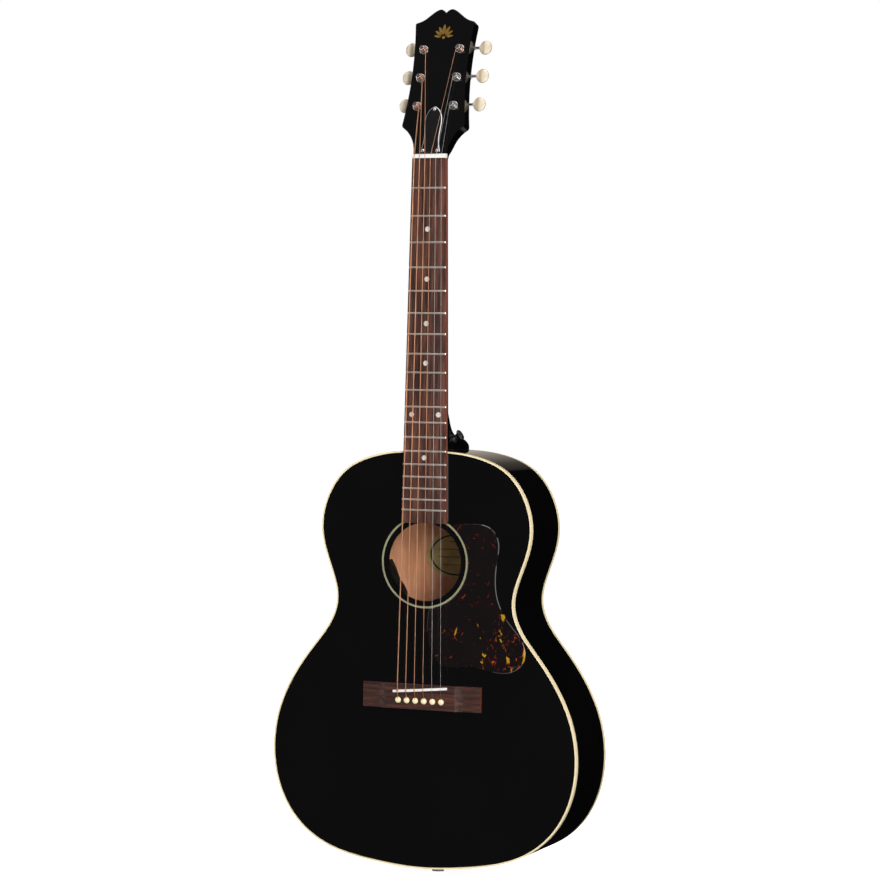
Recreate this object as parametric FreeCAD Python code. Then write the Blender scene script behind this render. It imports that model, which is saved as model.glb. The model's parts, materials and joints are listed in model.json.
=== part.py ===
"""A small-bodied steel-string acoustic guitar with an under-saddle pickup, as separate pieces.

The frame: X runs from the bass side to the treble side, Y from the soundboard into the body, and Z up
the neck. The origin is on the neck's centre line, where the strings leave the nut, level with the
soundboard's face. Lengths are millimetres.
"""

import FreeCAD, Part
import math
import os

from FreeCAD import Vector

# ---- scale, frets and neck ----
SCALE = 628.65                 # nut to the saddle's nominal line
FRET_COUNT = 19
BODY_FRET = 14                 # the neck meets the body here
NUT_HALF = 21.5                # half width of the fingerboard at the nut
JOINT_HALF = 27.5              # half width of the fingerboard at the body
BOARD_END_Z = -434.5
BOARD_THICK = 6.0
BOARD_RADIUS = 305.0
FRET_HEIGHT = 1.0
FRET_HALF_WIDTH = 1.1
NUT_THICK = 5.0
NECK_DEPTH_NUT = 15.0          # wood behind the fingerboard
NECK_DEPTH_HEEL = 18.5

# ---- body ----
DEPTH_AT_NECK = 99.6           # on the centre line; the arch makes the rim shallower
DEPTH_SLOPE = math.degrees(math.atan(13.0 / 400.0))
BACK_ARCH_RADIUS = 4600.0
PLATE = 2.8                    # soundboard and back thickness
SIDE = 2.0                     # side wall and binding thickness
BINDING_DEEP = 6.5
GRAFT_HALF = 10.0              # half width of the strips where the ribs stop, at the neck and the tail
LINING = 6.0
LINING_DEEP = 14.0
# Half of the outline, from the neck joint round to the tail: (half width, Z)
OUTLINE = [
    (0.0, -348.2), (40.0, -349.6), (72.0, -356.0), (103.0, -371.2), (129.6, -409.5),
    (135.3, -441.0), (130.6, -469.5), (116.6, -510.0), (114.0, -529.0), (118.8, -549.5),
    (145.8, -589.0), (173.1, -629.0), (190.0, -669.0), (195.9, -709.0), (191.2, -749.0),
    (172.8, -789.0), (154.2, -809.5), (122.5, -829.0), (62.0, -843.6), (0.0, -848.6),
]
HOLE_Z = -481.0
HOLE_R = 46.7
RING_INNER, RING_OUTER, RING_DEEP = 53.1, 55.5, 1.0
LABEL_Z = -478.0
LABEL_HALF = (39.0, 29.0)      # across and along

# ---- bridge ----
BRIDGE_Z = (-657.2, -627.2)
BRIDGE_HALF = 75.8
BRIDGE_CORE_HALF = 44.3
BRIDGE_HIGH = 8.4
WING_HIGH = 3.6
SADDLE_Z = (-636.5, -630.2)    # bass end, treble end
SADDLE_HALF = 35.0
SADDLE_THICK = 3.0
PIN_Z = -646.6
PIN_SPAN = 55.4
STRING_HOLE_Z = PIN_Z + 2.6    # the strings go down just in front of the pins
SADDLE_RADIUS = 345.0

# ---- strings, bass to treble ----
STRING_R = [0.67, 0.53, 0.41, 0.305, 0.205, 0.155]
NUT_SPAN = 34.4
SADDLE_SPAN = 55.8
STRING_SHIFT = -0.6            # the strings sit a touch towards the bass side
NUT_SLOT_Y = -7.5              # underside of the strings at the nut
SADDLE_TOP_Y = -11.4           # underside of the strings at the saddle
BALL_Y = 6.9                   # the strings end here, on their ball ends under the bridge plate
BALL_R = 1.6

# ---- headstock, in its own frame: across, behind the face, and along it from the nut ----
HEAD_TILT = 14.5
HEAD_Y, HEAD_Z = -2.0, NUT_THICK
OVERLAY = 2.0
HEAD_THICK = 15.0
TRUSS_Y = 5.4                  # the truss rod's depth behind the soundboard's plane
COVER_THICK = 1.9              # truss-rod cover
COVER_BEVEL = 1.3
POST_X = 23.3
POST_S = (60.4, 96.3, 132.2)

# ---- tuners ----
TEETH = 14
MODULE = 0.8
GEAR_R = TEETH * MODULE / 2
WORM_R = 2.8
GEAR_DEPTH = HEAD_THICK + 5.0  # gear and worm lie this far behind the headstock's face
GEAR_THICK = 2.4
POST_R = 2.9
POST_FREE = 9.0                # the post stands this far in front of the face
RUNNING = 0.05                 # radial clearance of a running fit
STRIP = 1.0                    # tuner plate thickness
OFFSET_POINTS = 96             # points that carry an offset outline

X, Y, Z = Vector(1, 0, 0), Vector(0, 1, 0), Vector(0, 0, 1)
PITCH = math.pi * MODULE
STRING_GAP = 0.35              # clear air between a string and its turning post


# ---- small helpers ----
def fret_z(n):
    return -SCALE * (1 - 2 ** (-n / 12))


BODY_Z = fret_z(BODY_FRET)


def box(x0, x1, y0, y1, z0, z1):
    return Part.makeBox(x1 - x0, y1 - y0, z1 - z0, Vector(x0, y0, z0))


def rod(start, end, radius):
    along = end - start
    return Part.makeCylinder(radius, along.Length, start, along)


def fuse(shapes):
    return shapes[0].multiFuse(shapes[1:]).removeSplitter()


def group(shapes):
    solids = [solid for shape in shapes for solid in shape.Solids]
    return solids[0] if len(solids) == 1 else Part.makeCompound(solids)


def mirrored(shape):
    return shape.mirror(Vector(), X)


def save(node, shape):
    shape.exportStep(os.path.join("parts", node + ".step"))


def in_head(shape):
    """Move a shape from the headstock's own frame (X, depth as Y, length as Z) into the guitar."""
    moved = shape.copy()
    moved.rotate(Vector(), X, -HEAD_TILT)
    moved.translate(Vector(0, HEAD_Y, HEAD_Z))
    return moved


def head_point(x, depth, along):
    tilt = math.radians(HEAD_TILT)
    y = HEAD_Y + depth * math.cos(tilt) + along * math.sin(tilt)
    return Vector(x, y, HEAD_Z - depth * math.sin(tilt) + along * math.cos(tilt))


# ---- body outline and the arched back ----
def outline_curve(inset):
    """The closed outline moved inwards, drawn again through offset points."""
    right = [Vector(x, 0, z) for x, z in OUTLINE]
    left = [Vector(-p.x, 0, p.z) for p in reversed(right[1:-1])]
    curve = Part.BSplineCurve()
    curve.interpolate(Points=right + left, PeriodicFlag=True)
    if inset == 0:
        return curve
    first, span = curve.FirstParameter, curve.LastParameter - curve.FirstParameter
    points = []
    for i in range(OFFSET_POINTS):
        u = first + span * i / OFFSET_POINTS
        tangent = curve.tangent(u)[0]
        points.append(curve.value(u) + Vector(tangent.z, 0, -tangent.x) * inset)
    moved = Part.BSplineCurve()
    moved.interpolate(Points=points, PeriodicFlag=True)
    return moved


def prism(inset, y0, y1):
    face = Part.Face(Part.Wire(outline_curve(inset).toShape()))
    face.translate(Vector(0, y0, 0))
    return face.extrude(Vector(0, y1 - y0, 0))


def under_back(inward):
    """Everything in front of the arched back's outer face moved inwards by the given amount."""
    slope = math.radians(DEPTH_SLOPE)
    down = Vector(0, math.sin(slope), -math.cos(slope))
    outward = Vector(0, math.cos(slope), math.sin(slope))
    crest = Vector(0, DEPTH_AT_NECK, BODY_Z)
    start = crest - outward * (BACK_ARCH_RADIUS + inward) - down * 400
    return Part.makeCylinder(BACK_ARCH_RADIUS, 1200, start, down)


def back_y(z):
    """Depth of the back's outer face on the centre line."""
    return DEPTH_AT_NECK + (BODY_Z - z) * math.tan(math.radians(DEPTH_SLOPE))


DEEP = 160.0                   # deeper than the body anywhere


def wall(outer, inner, y0, y1):
    return prism(outer, y0, y1).cut(prism(inner, y0 - 1, y1 + 1))


def back_layer(shape, low, high):
    """The part of a shape between two depths measured in from the back's outer face."""
    return shape.common(under_back(low)).cut(under_back(high))


def bent_in_two(ring):
    """A binding is two bent strips that meet on the centre line."""
    bass = box(-250, 0, -20, DEEP, -900, 0)
    return group([ring.common(bass), ring.common(mirrored(bass))])


def ribs_and_grafts(ring):
    """Two bent ribs that stop short of the centre line, and the grafts that fill the gaps at both ends."""
    bass = box(-250, -GRAFT_HALF, -20, DEEP, -900, 0)
    grafts = box(-GRAFT_HALF, GRAFT_HALF, -20, DEEP, -900, 0)
    return group([ring.common(bass), ring.common(mirrored(bass)), ring.common(grafts)])


def neck_notch():
    """Where the tenon passes through the side."""
    return box(-GRAFT_HALF, GRAFT_HALF, BINDING_DEEP, 76, BODY_Z - 12, BODY_Z + 8)


def jack_hole(radius):
    y = back_y(-848) / 2
    return rod(Vector(0, y, -820), Vector(0, y, -880), radius)


def body_shell():
    top = prism(SIDE, 0, PLATE)
    top = top.cut(rod(Vector(0, -1, HOLE_Z), Vector(0, 9, HOLE_Z), HOLE_R))
    ring = rosette_ring()
    top = top.cut(ring)
    for i in range(6):
        top = top.cut(pin_bore(i))
    save("soundboard", with_string_slots(top))
    save("rosette_ring", ring)
    save("back_plate", back_layer(prism(SIDE, 40, DEEP), 0, PLATE))
    ribs = wall(0, SIDE, BINDING_DEEP, DEEP).common(under_back(BINDING_DEEP))
    save("sides", ribs_and_grafts(ribs.cut(neck_notch()).cut(jack_hole(6.0))))
    save("top_binding", bent_in_two(wall(0, SIDE, 0, BINDING_DEEP)))
    save("back_binding", bent_in_two(back_layer(wall(0, SIDE, 40, DEEP), 0, BINDING_DEEP)))


def rosette_ring():
    outer = rod(Vector(0, 0, HOLE_Z), Vector(0, RING_DEEP, HOLE_Z), RING_OUTER)
    ring = outer.cut(rod(Vector(0, -1, HOLE_Z), Vector(0, 3, HOLE_Z), RING_INNER))
    end_half = board_half(BOARD_END_Z)
    return ring.cut(box(-end_half, end_half, -1, 3, BOARD_END_Z, HOLE_Z + 90))


def blocks_and_linings():
    depth = back_y(BODY_Z - 30)
    neck_block = prism(SIDE, PLATE, DEEP).common(box(-38, 38, 0, DEEP, BODY_Z - 60, BODY_Z + 10))
    neck_block = neck_block.common(under_back(PLATE)).cut(neck_notch().common(
        box(-10, 10, 0, DEEP, BODY_Z - 12, BODY_Z + 8)))
    save("neck_block", neck_block)
    tail_block = prism(SIDE, PLATE, DEEP).common(box(-36, 36, 0, DEEP, -860, -826))
    tail_block = tail_block.common(under_back(PLATE)).cut(jack_hole(6.0))
    save("tail_block", tail_block)
    ends = fuse([box(-38.2, 38.2, 0, depth + 40, BODY_Z - 60.2, BODY_Z + 10),
                 box(-36.2, 36.2, 0, depth + 40, -860, -825.8)])
    front = wall(SIDE, SIDE + LINING, PLATE, PLATE + LINING_DEEP).cut(ends)
    back = back_layer(wall(SIDE, SIDE + LINING, 40, DEEP), PLATE, PLATE + LINING_DEEP).cut(ends)
    save("linings", group([front, back]))


# ---- braces ----
def brace(start, end, width, high):
    """A bar on the underside of the soundboard, scalloped at both ends."""
    along = Vector(end[0] - start[0], 0, end[1] - start[1])
    length = along.Length
    scoop = min(45.0, length / 4)
    profile = [(0, 0), (length, 0), (length, 2.0), (length - scoop, high), (scoop, high), (0, 2.0)]
    points = [Vector(a, b, 0) for a, b in profile]
    bar = Part.Face(Part.makePolygon(points + points[:1])).extrude(Vector(0, 0, width))
    bar.translate(Vector(0, 0, -width / 2))
    bar.rotate(Vector(), Y, -math.degrees(math.atan2(along.z, along.x)))
    bar.translate(Vector(start[0], PLATE, start[1]))
    return bar


def bracing():
    inside = prism(SIDE + LINING + 0.5, 0, DEEP)
    cross = fuse([brace((-103, -455), (134, -776), 8, 14), brace((103, -455), (-134, -776), 8, 14)])
    upper = brace((-95, -425), (95, -425), 10, 12)
    tones = [brace((44, -676), (-105, -722), 7, 10), brace((24, -726), (-85, -775), 7, 10)]
    tones = [bar.cut(cross) for bar in tones]
    cross = cross.cut(box(-60, 60, 0, 8, -668, -616)).cut(control_space())
    bars = [piece.common(inside) for piece in [cross, upper] + tones]
    plate = box(-58, 58, PLATE, PLATE + 2.6, -667, -617)
    for i in range(6):
        plate = plate.cut(pin_bore(i))
    save("top_bracing", group(bars + [with_string_slots(plate)]))
    bars = [box(-190, 190, 40, DEEP, z - 5, z + 5) for z in (-420, -556, -655, -760)]
    strip = box(-8, 8, 40, DEEP, -822, BODY_Z - 62)
    bars = [back_layer(bar.common(inside), PLATE, PLATE + 13) for bar in bars]
    strip = back_layer(strip, PLATE, PLATE + 2.4)
    for bar in bars:
        strip = strip.cut(bar)
    around_label = box(-9, 9, 40, DEEP, LABEL_Z - LABEL_HALF[1] - 5, LABEL_Z + LABEL_HALF[1] + 5)
    save("back_bracing", group(bars + [strip.cut(around_label)]))


def soundhole_label():
    """An oval paper label, glued inside the back under the soundhole."""
    oval = Part.Ellipse(Vector(0, 0, 0), *LABEL_HALF)
    face = Part.Face(Part.Wire(oval.toShape()))
    face.rotate(Vector(), X, 90)
    face.translate(Vector(0, DEEP, LABEL_Z))
    return back_layer(face.extrude(Vector(0, 40 - DEEP, 0)), PLATE, PLATE + 0.3)


# ---- neck, fingerboard and nut ----
def board_half(z):
    return NUT_HALF + (JOINT_HALF - NUT_HALF) * z / BODY_Z


def half_round(half, depth, z):
    """A neck section: flat under the fingerboard, half an ellipse behind."""
    if half >= depth:
        oval = Part.Ellipse(Vector(0, 0, 0), half, depth)
        arc = Part.ArcOfEllipse(oval, 0, math.pi).toShape()
    else:
        oval = Part.Ellipse(Vector(0, depth, 0), Vector(half, 0, 0), Vector(0, 0, 0))
        arc = Part.ArcOfEllipse(oval, -math.pi / 2, math.pi / 2).toShape()
    ends = [vertex.Point for vertex in arc.Vertexes]
    wire = Part.Wire([arc, Part.makeLine(ends[-1], ends[0])])
    wire.translate(Vector(0, 0, z))
    return wire


def neck_shaft():
    low = BODY_Z - 4
    nut_end = half_round(NUT_HALF, NECK_DEPTH_NUT, 14)
    nut_line = half_round(NUT_HALF, NECK_DEPTH_NUT, 0)
    heel_end = half_round(board_half(low), NECK_DEPTH_HEEL, low)
    return fuse([Part.makeLoft([nut_end, nut_line], True, True),
                 Part.makeLoft([nut_line, heel_end], True, True)])


def heel():
    """The heel narrows and shortens as it goes back: (depth, half width, nose height above the body)."""
    sections = [(0, 27.3, 78), (12, 25.6, 66), (24, 22.6, 50), (38, 20.2, 33),
                (54, 18.8, 22), (74, 18.2, 17), (90, 17.6, 13), (97.5, 16.6, 9)]
    wires = []
    for depth, half, nose in sections:
        foot = BODY_Z - 3
        left, right = Vector(-half, depth, foot), Vector(half, depth, foot)
        tip = Vector(0, depth, BODY_Z + nose)
        sides_at = BODY_Z + nose * 0.30
        curve = Part.BSplineCurve()
        curve.interpolate(Points=[Vector(half, depth, sides_at), tip, Vector(-half, depth, sides_at)],
                          InitialTangent=Z, FinalTangent=-Z)
        wires.append(Part.Wire([
            Part.makeLine(left, right), Part.makeLine(right, Vector(half, depth, sides_at)),
            curve.toShape(), Part.makeLine(Vector(-half, depth, sides_at), left)]))
    return Part.makeLoft(wires, True, False)


def head_outline():
    """Right half of the headstock's face, from the nut up to the notch at the top."""
    flare = Part.BSplineCurve()
    flare.interpolate(Points=[Vector(x, 0, s) for x, s in
                              [(21.5, -6), (21.9, 6), (24.8, 17), (31.6, 27.6), (38.6, 33.6)]],
                      InitialTangent=Z, FinalTangent=Vector(1, 0, 0.62))
    corner = Part.Arc(Vector(38.6, 0, 33.6), Vector(40.1, 0, 35.6), Vector(40.3, 0, 38.4))
    side = Part.Arc(Vector(40.3, 0, 38.4), Vector(35.0, 0, 105), Vector(38.2, 0, 165.4))
    crown = Part.BSplineCurve()
    crown.interpolate(Points=[Vector(x, 0, s) for x, s in
                              [(37.4, 167.0), (29.4, 169.8), (19.9, 176.6), (12.2, 182.2),
                               (7.2, 183.8), (2.6, 182.0), (0, 179.6)]],
                      InitialTangent=Vector(-1, 0, 0.28), FinalTangent=Vector(-0.8, 0, -0.75))
    tip = Part.makeLine(Vector(38.2, 0, 165.4), Vector(37.4, 0, 167.0))
    return [flare.toShape(), corner.toShape(), side.toShape(), tip, crown.toShape()]


def head_slab(front, back):
    """The headstock's outline between two depths behind its face."""
    right = head_outline()
    left = [mirrored(edge) for edge in right]
    foot = Part.makeLine(Vector(-21.5, 0, -6), Vector(21.5, 0, -6))
    wire = Part.Wire(Part.__sortEdges__(right + left + [foot]))
    face = Part.Face(wire)
    face.translate(Vector(0, front, 0))
    return face.extrude(Vector(0, back - front, 0))


def lies_at(edge, depth):
    return all(abs(vertex.Point.y - depth) < 0.01 for vertex in edge.Vertexes)


def rounded(shape, radius, wanted):
    """Round the edges that the test picks out."""
    edges = [edge for edge in shape.Edges if wanted(edge)]
    return shape.makeFillet(radius, edges)


def rim_at(depth, low):
    """Picks the headstock's outline edges at one depth, above a place along it."""
    def wanted(edge):
        return lies_at(edge, depth) and all(vertex.Point.z > low for vertex in edge.Vertexes)
    return wanted


def post_places():
    """Post centres for the six strings, bass to treble: bass side up from the nut, then back down."""
    return [(-POST_X, s) for s in POST_S] + [(POST_X, s) for s in reversed(POST_S)]


def truss_pocket():
    return box(-5.5, 5.5, -0.5, 11.0, 2.0, 32.0)


def head_drilling():
    """Post holes, screw holes and the truss-rod pocket, as solids to cut away."""
    drills = [rod(Vector(x, 0, s), Vector(x, 20, s), 4.4) for x, s in post_places()]
    drills += [rod(Vector(x, 8.5, s), Vector(x, 16, s), 1.2) for x, s in plate_screws()]
    drills += [rod(Vector(x, 0, s), Vector(x, 7.5, s), 1.0) for x, s in cover_screws()]
    return [in_head(drill) for drill in drills + [truss_pocket()]]


def root_corners():
    """Wood to carve away behind the nut, so the neck's round back swells into the headstock."""
    steps = [(-10, 20, 13.6), (-3, 21.2, 14.7), (4, 22.4, 20.5), (16, 31, 27), (36, 62, 52)]
    sections = [half_round(half, depth, z) for z, half, depth in steps]
    corners = box(-60, 60, -20, 60, -10, 36)
    for low, high in zip(sections, sections[1:]):
        corners = corners.cut(Part.makeLoft([low, high], True, True))
    return corners


def neck():
    wood = head_slab(OVERLAY, HEAD_THICK)
    wood = in_head(rounded(wood, 1.2, rim_at(HEAD_THICK, 39.0))).cut(root_corners())
    front_of_head = in_head(box(-40, 40, -60, OVERLAY, 0.6, 60))
    shaft = neck_shaft().cut(front_of_head)
    body = prism(0, -20, 200)
    handle = heel().fuse(shaft).cut(body)
    tenon = box(-9.8, 9.8, BINDING_DEEP + 0.2, 75.5, BODY_Z - 11.5, BODY_Z + 4)
    whole = fuse([handle, wood, tenon])
    whole = whole.cut(rod(Vector(0, TRUSS_Y, 16), Vector(0, TRUSS_Y, BODY_Z + 16), 2.6))
    whole = whole.cut(box(-40, 40, -20, 0, BODY_Z - 20, NUT_THICK))
    for drill in head_drilling() + strap_screw_hole():
        whole = whole.cut(drill)
    save("neck", whole)


def headstock_face():
    overlay = head_slab(0, OVERLAY).cut(box(-60, 60, -5, 5, -20, 0.6))
    overlay = rounded(overlay, 0.7, rim_at(0, 39.0))
    for x, s in post_places():
        overlay = overlay.cut(rod(Vector(x, -1, s), Vector(x, 5, s), 4.4))
    for x, s in cover_screws():
        overlay = overlay.cut(rod(Vector(x, -1, s), Vector(x, 5, s), 1.0))
    overlay = overlay.cut(truss_pocket())
    inlay = ornament()
    save("headstock_overlay", in_head(overlay.cut(inlay)))
    save("headstock_inlay", in_head(inlay))


def ornament():
    """A plain gold spray of seven leaves, let into the face above the posts."""
    leaves = []
    for i in range(-3, 4):
        long, wide = 13.5 - 1.4 * abs(i), 2.1 - 0.2 * abs(i)
        a, b = Vector(0, 0, 3.2), Vector(0, 0, 3.2 + long)
        right = Part.Arc(a, Vector(wide, 0, 3.2 + long * 0.45), b).toShape()
        leaf = Part.Face(Part.Wire([right, mirrored(right)])).extrude(Vector(0, 0.4, 0))
        leaf.rotate(Vector(), Y, 27.0 * i)
        leaf.translate(Vector(0, 0, 148.0))
        leaves.append(leaf)
    bead = rod(Vector(0, 0, 147.6), Vector(0, 0.4, 147.6), 1.9)
    return group(leaves + [bead])


def board_blank():
    end_half = board_half(BOARD_END_Z)
    corners = [Vector(-NUT_HALF, 0, 0), Vector(NUT_HALF, 0, 0),
               Vector(end_half, 0, BOARD_END_Z), Vector(-end_half, 0, BOARD_END_Z)]
    face = Part.Face(Part.makePolygon(corners + corners[:1]))
    blank = face.extrude(Vector(0, -BOARD_THICK - 3, 0))
    crown = rod(Vector(0, BOARD_RADIUS - BOARD_THICK, 10),
                Vector(0, BOARD_RADIUS - BOARD_THICK, BOARD_END_Z - 10), BOARD_RADIUS)
    return blank.common(crown)


def fret_limits():
    """The room between the fingerboard's edges, closing in above it so that the fret ends are bevelled."""
    def outline(y, inset):
        head, foot = NUT_HALF - inset, board_half(BOARD_END_Z) - inset
        corners = [Vector(-head, y, 0), Vector(head, y, 0),
                   Vector(foot, y, BOARD_END_Z), Vector(-foot, y, BOARD_END_Z)]
        return Part.makePolygon(corners + corners[:1])
    return Part.makeLoft([outline(-4.9, 0), outline(-8.9, 2.6)], True, True)


def fret_wire(z, limits):
    """A rounded crown that follows the fingerboard's radius."""
    axis_y = BOARD_RADIUS - BOARD_THICK
    foot, top = -BOARD_THICK, -BOARD_THICK - FRET_HEIGHT
    left, right = Vector(0, foot, z - FRET_HALF_WIDTH), Vector(0, foot, z + FRET_HALF_WIDTH)
    arc = Part.Arc(left, Vector(0, top, z), right).toShape()
    face = Part.Face(Part.Wire([arc, Part.makeLine(right, left)]))
    face.rotate(Vector(0, axis_y, z), Z, -7)
    wire = face.revolve(Vector(0, axis_y, z), Z, 14)
    return wire.common(limits)


def fingerboard_and_frets():
    board = board_blank()
    limits = fret_limits()
    save("frets", group([fret_wire(fret_z(n), limits) for n in range(1, FRET_COUNT + 1)]))
    spots = []
    for n in (3, 5, 7, 9, 15):
        spots.append((0, (fret_z(n) + fret_z(n - 1)) / 2))
    twelfth = (fret_z(12) + fret_z(11)) / 2
    spots += [(-17.2, twelfth), (17.2, twelfth)]
    dots = [rod(Vector(x, -1.0 - BOARD_THICK + 0.2, z), Vector(x, 1.4 - BOARD_THICK, z), 3.1)
            .common(board) for x, z in spots]
    for n in (3, 5, 7, 9, 12, 15):
        z = (fret_z(n) + fret_z(n - 1)) / 2
        edge = -board_half(z)
        dots.append(rod(Vector(edge - 1, -3.2, z), Vector(edge + 1.5, -3.2, z), 1.0).common(board))
    for dot in dots:
        board = board.cut(dot)
    save("fingerboard", board)
    save("position_dots", group(dots))


def nut():
    profile = [(0, 0), (0, -8.3), (NUT_THICK - 1.5, -7.6), (NUT_THICK, -6.2), (NUT_THICK, 0)]
    points = [Vector(-NUT_HALF, y, z) for z, y in profile]
    bar = Part.Face(Part.makePolygon(points + points[:1])).extrude(Vector(2 * NUT_HALF, 0, 0))
    for i in range(6):
        bar = bar.cut(string_tube(i, STRING_R[i] + 0.06))
    save("nut", bar)


def truss_parts():
    bar = rod(Vector(0, TRUSS_Y, BODY_Z + 18), Vector(0, TRUSS_Y, 16.2), 2.4)
    save("truss_rod", bar)
    corners = [math.radians(60 * i) for i in range(6)]
    hexagon = [Vector(3.7 * math.cos(a), TRUSS_Y + 3.7 * math.sin(a), 9.0) for a in corners]
    nut_body = Part.Face(Part.makePolygon(hexagon + hexagon[:1])).extrude(Vector(0, 0, 6))
    bore = rod(Vector(0, TRUSS_Y, 0), Vector(0, TRUSS_Y, 30), 2.4 + RUNNING)
    save("truss_rod_nut", nut_body.cut(bore))


def cover_screws():
    return [(0, 56.0), (-9.1, 4.2), (9.1, 4.2)]


def truss_cover():
    """A bell-shaped plate with a bevelled edge: (half width, place along the headstock)."""
    points = [(13.4, 1.2), (11.7, 8), (10.2, 16), (10.2, 26), (11.1, 36), (10.6, 46), (7.4, 54.2), (0, 60)]
    curve = Part.BSplineCurve()
    curve.interpolate(Points=[Vector(x, 0, s) for x, s in points], FinalTangent=-X)
    right = curve.toShape()
    foot = Part.makeLine(Vector(-13.4, 0, 1.2), Vector(13.4, 0, 1.2))
    face = Part.Face(Part.Wire(Part.__sortEdges__([right, mirrored(right), foot])))
    cover = face.extrude(Vector(0, -COVER_THICK, 0))
    cover = cover.makeChamfer(COVER_BEVEL, [edge for edge in cover.Edges if lies_at(edge, -COVER_THICK)])
    for x, s in cover_screws():
        cover = cover.cut(rod(Vector(x, -4, s), Vector(x, 1, s), 1.2))
    save("truss_cover", in_head(cover))


def small_screws():
    """Cover screws in front and tuner plate screws behind."""
    screws = []
    for x, s in cover_screws():
        screws.append(wood_screw(Vector(x, -COVER_THICK, s), 1, 7.0, 1.0, 2.1))
    for x, s in plate_screws():
        screws.append(wood_screw(Vector(x, HEAD_THICK + STRIP, s), -1, 7.0, 1.2, 2.3))
    save("small_screws", in_head(group(screws)))


def wood_screw(seat, way, length, radius, head):
    """A round-headed slotted screw standing on its seat; way is +1 when it goes in towards +Y."""
    shank = rod(seat, seat + Vector(0, way * length, 0), radius - 0.05)
    dome = Part.makeSphere(head * 1.25, seat + Vector(0, way * head * 0.75, 0))
    keep = rod(seat, seat + Vector(0, -way * head, 0), head)
    slot = box(-head, head, -0.35, 0.35, -0.3, 0.3)
    slot.translate(seat + Vector(0, -way * (head * 0.5), 0))
    return fuse([shank, dome.common(keep).cut(slot)])


# ---- bridge ----
def pin_x(i):
    return STRING_SHIFT / 3 - PIN_SPAN / 2 + PIN_SPAN * i / 5


def pin_bore(i):
    return rod(Vector(pin_x(i), -20, PIN_Z), Vector(pin_x(i), 20, PIN_Z), 2.6)


def saddle_block(y0, y1, thick):
    """A bar lying at the saddle's slant."""
    bass, treble = SADDLE_Z
    bar = box(-SADDLE_HALF, SADDLE_HALF, y0, y1, -thick / 2, thick / 2)
    bar.rotate(Vector(), Y, -math.degrees(math.atan2(treble - bass, 2 * SADDLE_HALF)))
    bar.translate(Vector(0, 0, (bass + treble) / 2))
    return bar


def bridge_section():
    """The bridge seen from its end: a flat crown, a scoop and a thin wing on each side."""
    shoulder = Vector(BRIDGE_CORE_HALF, -BRIDGE_HIGH, 0)
    wing, tip, foot = [Vector(x, y, 0) for x, y in
                       ((63.0, -WING_HIGH), (BRIDGE_HALF, -WING_HIGH), (BRIDGE_HALF, 0))]
    half = [Part.Arc(shoulder, Vector(52.2, -4.5, 0), wing).toShape(),
            Part.makeLine(wing, tip), Part.makeLine(tip, foot)]
    across = [Part.makeLine(Vector(-point.x, point.y, 0), point) for point in (shoulder, foot)]
    edges = half + [mirrored(edge) for edge in half] + across
    return Part.Face(Part.Wire(Part.__sortEdges__(edges)))


def bridge_group():
    low, high = BRIDGE_Z
    bridge = bridge_section()
    bridge.translate(Vector(0, 0, low))
    bridge = bridge.extrude(Vector(0, 0, high - low))
    bridge = rounded(bridge, 1.2, lambda edge: lies_at(edge, -BRIDGE_HIGH) and edge.Length > 40)
    bridge = bridge.cut(saddle_block(-20, -2.4, SADDLE_THICK))
    for i in range(6):
        bridge = bridge.cut(pin_bore(i))
    save("bridge", with_string_slots(bridge))
    save("pickup_strip", saddle_block(-3.4, -2.4, SADDLE_THICK - 0.4))
    save("saddle", saddle())
    save("bridge_pins", group([bridge_pin(i).cut(string_slot(i)) for i in range(6)]))


def saddle():
    """Bone bar with a rounded, radiused top just under the strings."""
    bar = saddle_block(-14, -3.4, SADDLE_THICK)
    axis_y = SADDLE_TOP_Y + SADDLE_RADIUS + 0.1
    return bar.common(rod(Vector(0, axis_y, -600), Vector(0, axis_y, -670), SADDLE_RADIUS))


def bridge_pin(i):
    """A tapered pin with a domed head and a collar, standing just proud of the bridge."""
    profile = [(0, 13.5), (1.9, 13.5), (2.55, -BRIDGE_HIGH + 0.2), (2.55, -BRIDGE_HIGH), (3.5, -BRIDGE_HIGH),
               (3.7, -BRIDGE_HIGH - 0.8)]
    points = [Vector(a, b, 0) for a, b in profile]
    lines = [Part.makeLine(p, q) for p, q in zip(points, points[1:])]
    top = Vector(0, -BRIDGE_HIGH - 3.6, 0)
    dome = Part.Arc(points[-1], Vector(2.7, -BRIDGE_HIGH - 2.7, 0), top).toShape()
    axis = Part.makeLine(top, points[0])
    face = Part.Face(Part.Wire(lines + [dome, axis]))
    pin = face.revolve(Vector(), Y, 360)
    pin.translate(Vector(pin_x(i), 0, PIN_Z))
    return pin


# ---- strings ----
def string_points(i):
    """Centre line of one string, from beside its post to its ball end under the bridge plate."""
    radius = STRING_R[i]
    share = i / 5 - 0.5
    at_nut = STRING_SHIFT + NUT_SPAN * share
    at_saddle = STRING_SHIFT + SADDLE_SPAN * share
    saddle_z = (SADDLE_Z[0] + SADDLE_Z[1]) / 2 + (SADDLE_Z[1] - SADDLE_Z[0]) / (2 * SADDLE_HALF) * at_saddle
    crown_nut = at_nut ** 2 / (2 * BOARD_RADIUS)
    saddle_z -= SADDLE_THICK / 2 - 0.15
    crown_saddle = at_saddle ** 2 / (2 * SADDLE_RADIUS)
    return [
        post_tangent(i, head_lead(i, at_nut, crown_nut)),
        Vector(at_nut, NUT_SLOT_Y + crown_nut - radius, 0.8),
        Vector(at_saddle, SADDLE_TOP_Y + crown_saddle - radius, saddle_z),
        Vector(pin_x(i), -BRIDGE_HIGH - 0.2, STRING_HOLE_Z),
        Vector(pin_x(i), BALL_Y, STRING_HOLE_Z),
    ]


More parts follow.
